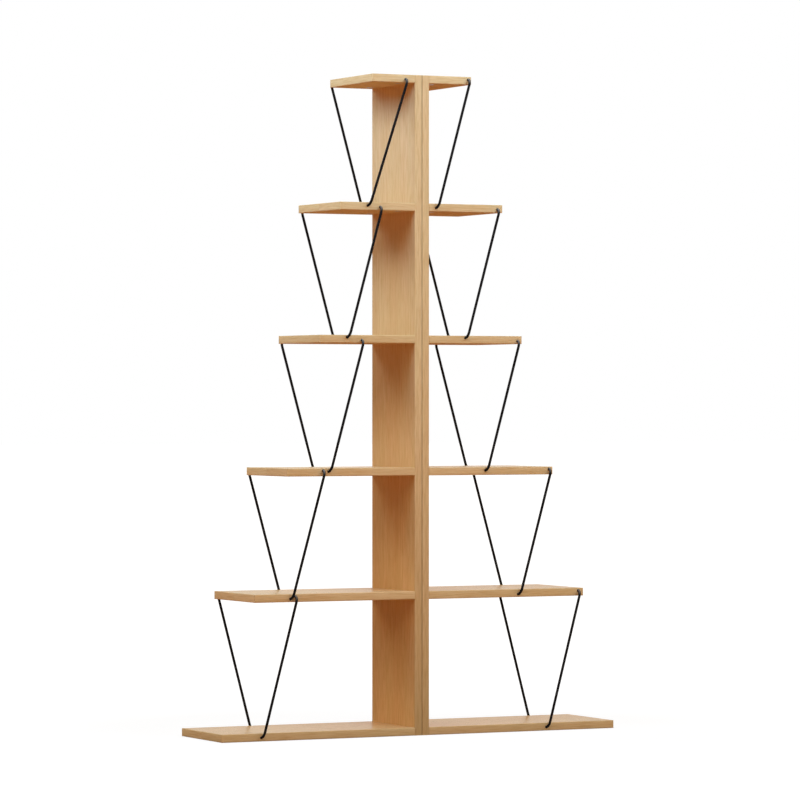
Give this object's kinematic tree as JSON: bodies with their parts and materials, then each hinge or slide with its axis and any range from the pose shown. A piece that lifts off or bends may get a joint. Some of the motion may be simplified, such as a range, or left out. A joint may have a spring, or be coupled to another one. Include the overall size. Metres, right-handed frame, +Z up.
{
  "type": "bookcase",
  "caption": "Stepped open bookcase: a twin central upright carries board shelves on both sides that grow towards the floor, tied by leaning bent steel rods.",
  "frame": {"origin": "on the floor, at mid depth, on the seam between the two uprights", "axes": "+X along the shelves to the right as seen from the front, +Y from front to back, +Z up"},
  "size_m": [0.99, 0.25, 1.489],
  "materials": {
    "oak_board": "oak-effect foil on particle board, fine matt grain along the board",
    "oak_band": "oak-effect plastic edge band, matt, fine lines along the edge",
    "black_rod": "satin black powder coat on round steel rod",
    "zinc": "plain zinc die casting",
    "plated_steel": "bright zinc-plated steel",
    "beech": "bare turned beech, fluted"
  },
  "bodies": {
    "root": {"right_upright": "oak_board", "right_upright_bands": "oak_band", "right_shelf_1": "oak_board", "right_shelf_bands_1": "oak_band", "right_shelf_2": "oak_board", "right_shelf_bands_2": "oak_band", "right_shelf_3": "oak_board", "right_shelf_bands_3": "oak_band", "right_shelf_4": "oak_board", "right_shelf_bands_4": "oak_band", "right_shelf_5": "oak_board", "right_shelf_bands_5": "oak_band", "right_shelf_6": "oak_board", "right_shelf_bands_6": "oak_band", "right_front_rod_1": "black_rod", "right_front_rod_2": "black_rod", "right_front_rod_3": "black_rod", "right_front_rod_4": "black_rod", "right_front_rod_5": "black_rod", "right_rear_rod_1": "black_rod", "right_rear_rod_2": "black_rod", "right_rear_rod_3": "black_rod", "right_rear_rod_4": "black_rod", "right_rear_rod_5": "black_rod", "right_cams": "zinc", "right_dowels": "beech", "left_upright": "oak_board", "left_upright_bands": "oak_band", "left_shelf_1": "oak_board", "left_shelf_bands_1": "oak_band", "left_shelf_2": "oak_board", "left_shelf_bands_2": "oak_band", "left_shelf_3": "oak_board", "left_shelf_bands_3": "oak_band", "left_shelf_4": "oak_board", "left_shelf_bands_4": "oak_band", "left_shelf_5": "oak_board", "left_shelf_bands_5": "oak_band", "left_shelf_6": "oak_board", "left_shelf_bands_6": "oak_band", "left_front_rod_1": "black_rod", "left_front_rod_2": "black_rod", "left_front_rod_3": "black_rod", "left_front_rod_4": "black_rod", "left_front_rod_5": "black_rod", "left_rear_rod_1": "black_rod", "left_rear_rod_2": "black_rod", "left_rear_rod_3": "black_rod", "left_rear_rod_4": "black_rod", "left_rear_rod_5": "black_rod", "left_cams": "zinc", "left_dowels": "beech", "joint_bolts": "plated_steel"}
  },
  "joints": []
}
